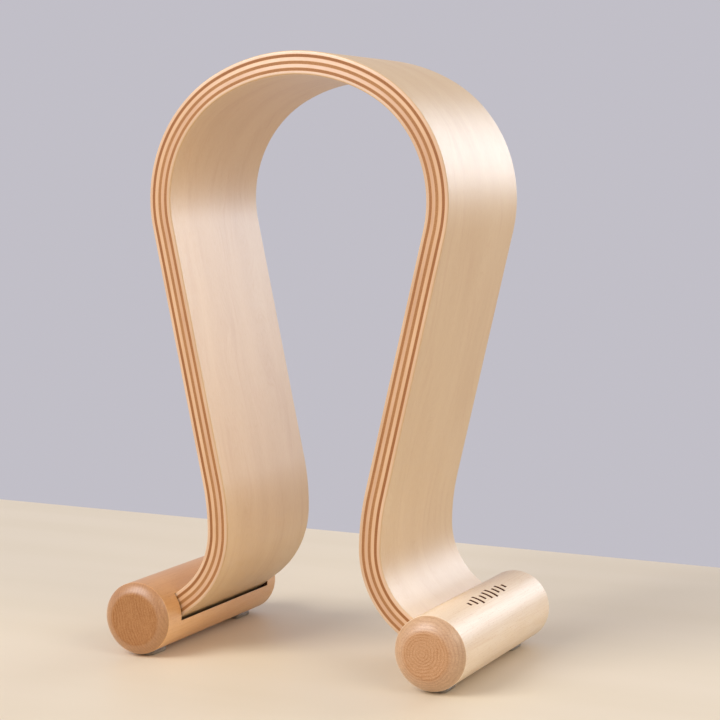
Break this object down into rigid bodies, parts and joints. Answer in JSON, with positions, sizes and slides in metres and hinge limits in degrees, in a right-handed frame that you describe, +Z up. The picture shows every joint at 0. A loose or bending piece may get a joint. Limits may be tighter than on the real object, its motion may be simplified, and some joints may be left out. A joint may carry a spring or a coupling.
{
  "type": "headphone stand",
  "caption": "Bent laminated wood headphone stand: an omega-shaped band whose flared ends sit in slots in two round bar feet on soft pads.",
  "frame": {"origin": "on the table, midway between the two feet and midway along them", "axes": "+Z up, +X from the left foot to the right foot, -Y towards the front"},
  "size_m": [0.175, 0.114, 0.27],
  "materials": {
    "long_grain_veneer": "pale birch veneer, grain along the band, satin lacquer",
    "cross_grain_veneer": "birch veneer with its end grain showing at the front and rear edges, satin lacquer",
    "solid_wood_foot": "solid beech bar, satin lacquer",
    "clear_rubber": "soft frosted silicone"
  },
  "bodies": {
    "root": {"ply_1_outer_face": "long_grain_veneer", "ply_2_cross": "cross_grain_veneer", "ply_3_long": "long_grain_veneer", "ply_4_centre_cross": "cross_grain_veneer", "ply_5_long": "long_grain_veneer", "ply_6_cross": "cross_grain_veneer", "ply_7_inner_face": "long_grain_veneer", "foot_left": "solid_wood_foot", "foot_right": "solid_wood_foot", "pad_left_front": "clear_rubber", "pad_left_rear": "clear_rubber", "pad_right_front": "clear_rubber", "pad_right_rear": "clear_rubber"}
  },
  "joints": []
}
